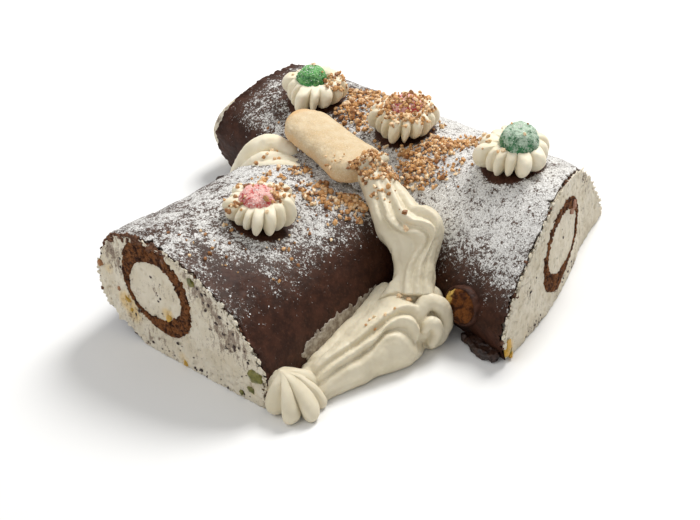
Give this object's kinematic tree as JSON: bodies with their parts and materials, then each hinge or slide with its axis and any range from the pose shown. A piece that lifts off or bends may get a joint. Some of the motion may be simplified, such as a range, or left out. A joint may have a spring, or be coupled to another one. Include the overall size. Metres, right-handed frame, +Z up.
{
  "type": "yule log cake",
  "caption": "Yule log cake: a chocolate-coated cream roulade with a branch log set against its side, piped cream, a ladyfinger and rosettes with jelly sweets.",
  "frame": {"origin": "middle of the bounding box's bottom, on the flat foot of the logs", "axes": "+Z up; +Y towards the back, away from the branch's cut face; +X towards the long log's cut face"},
  "size_m": [0.282, 0.3036, 0.0937],
  "materials": {
    "chocolate_coat": "dark chocolate, satin, dusted with icing sugar on top",
    "cream": "whipped cream, soft satin",
    "sponge": "moist brown sponge, matt and porous",
    "biscuit": "baked biscuit, matt and porous",
    "green_jelly": "green jelly rolled in sugar",
    "red_jelly": "pink-red jelly rolled in sugar",
    "dark_chocolate": "broken dark chocolate, satin"
  },
  "bodies": {
    "root": {"main_coat": "chocolate_coat", "main_cream": "cream", "main_sponge": "sponge", "main_core": "cream", "branch_coat": "chocolate_coat", "branch_cream": "cream", "branch_sponge": "sponge", "branch_core": "cream", "ladyfinger": "biscuit", "knot_biscuit": "biscuit", "chocolate_shard": "dark_chocolate", "cream_back": "cream", "cream_front": "cream", "cream_base": "cream", "cream_star": "cream", "rosette_green_left": "cream", "rosette_pink": "cream", "rosette_green_right": "cream", "rosette_red": "cream", "candy_green_left": "green_jelly", "candy_pink": "red_jelly", "candy_green_right": "green_jelly", "candy_red": "red_jelly"}
  },
  "joints": []
}
